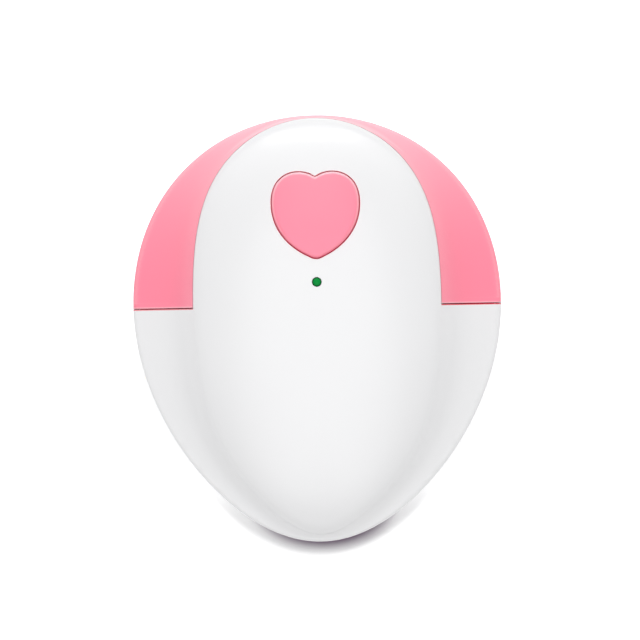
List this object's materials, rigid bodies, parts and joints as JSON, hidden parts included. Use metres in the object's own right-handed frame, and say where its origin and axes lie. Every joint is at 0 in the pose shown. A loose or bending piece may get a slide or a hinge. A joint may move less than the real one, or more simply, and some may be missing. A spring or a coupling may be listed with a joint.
{
  "type": "fetal doppler monitor",
  "caption": "Egg-shaped pocket fetal heartbeat monitor with a raised front, pink shoulders, a heart-shaped button, an indicator lamp and a round probe face underneath.",
  "frame": {"origin": "on the resting plane, below the middle of the egg-shaped outline; the probe face touches that plane", "axes": "+X to the user's right, +Y to the wide end with the heart-shaped button, +Z out of the front face"},
  "size_m": [0.0948, 0.11, 0.036],
  "materials": {
    "white_cover": "smooth white moulding",
    "pink_cover": "smooth pink moulding",
    "probe_face": "smooth pale grey moulding",
    "green_lens": "tinted, polished",
    "board": "solder resist",
    "black_plastic": "moulded, unpolished",
    "plated_steel": "zinc plated",
    "nickel": "nickel plated",
    "aluminium_can": "drawn",
    "crystal_ceramic": "silvered ceramic",
    "absorber": "cast, matt",
    "foam": "closed cell foam",
    "battery_jacket": "plain printed jacket",
    "red_insulation": "smooth",
    "black_insulation": "smooth",
    "ribbon_film": "flat cable"
  },
  "bodies": {
    "housing": {"front_cover": "white_cover", "shoulder_band": "pink_cover", "back_cover": "white_cover", "indicator_lens": "green_lens", "indicator_led": "green_lens", "tact_switch": "black_plastic", "switch_board": "board", "switch_board_screws": "plated_steel", "main_board": "board", "main_board_screws": "plated_steel", "control_chips": "black_plastic", "capacitors": "aluminium_can", "crystal_can": "nickel", "shield_can": "nickel", "ribbon_connectors": "black_plastic", "ribbon_cable": "ribbon_film", "jack_bodies": "black_plastic", "jack_collars": "nickel", "volume_potentiometer": "black_plastic", "probe_lens": "probe_face", "probe_gasket": "absorber", "transmit_crystal": "crystal_ceramic", "receive_crystal": "crystal_ceramic", "probe_septum": "absorber", "probe_backing": "absorber", "probe_cup": "black_plastic", "probe_leads": "red_insulation", "battery": "battery_jacket", "battery_terminals": "nickel", "battery_snap": "black_plastic", "red_lead": "red_insulation", "black_lead": "black_insulation", "case_screws": "plated_steel"},
    "power_button": {"power_button": "pink_cover"},
    "switch_plunger": {"switch_plunger": "black_plastic"},
    "volume_wheel": {"volume_wheel": "black_plastic"},
    "battery_door": {"battery_door": "white_cover", "battery_foam": "foam"}
  },
  "joints": [
    {"name": "button_press", "type": "slide", "parent": "housing", "child": "power_button", "axis": [0, 0, -1], "range_m": [0, 0.0005], "stiffness_N_per_m": 1500, "springref_m": -0.0006},
    {"name": "plunger_press", "type": "slide", "parent": "housing", "child": "switch_plunger", "axis": [0, 0, -1], "range_m": [0, 0.0005]},
    {"name": "volume_turn", "type": "hinge", "parent": "housing", "child": "volume_wheel", "pos_m": [0.0382, -0.004, 0.0156], "axis": [0, 0, 1], "range_deg": [-135, 135]},
    {"name": "door_open", "type": "hinge", "parent": "housing", "child": "battery_door", "pos_m": [0, 0.0129, 0.0012], "axis": [-1, 0, 0], "range_deg": [0, 50]}
  ],
  "couplings": [
    {"joint": "plunger_press", "follows": "button_press", "ratio": 1}
  ]
}
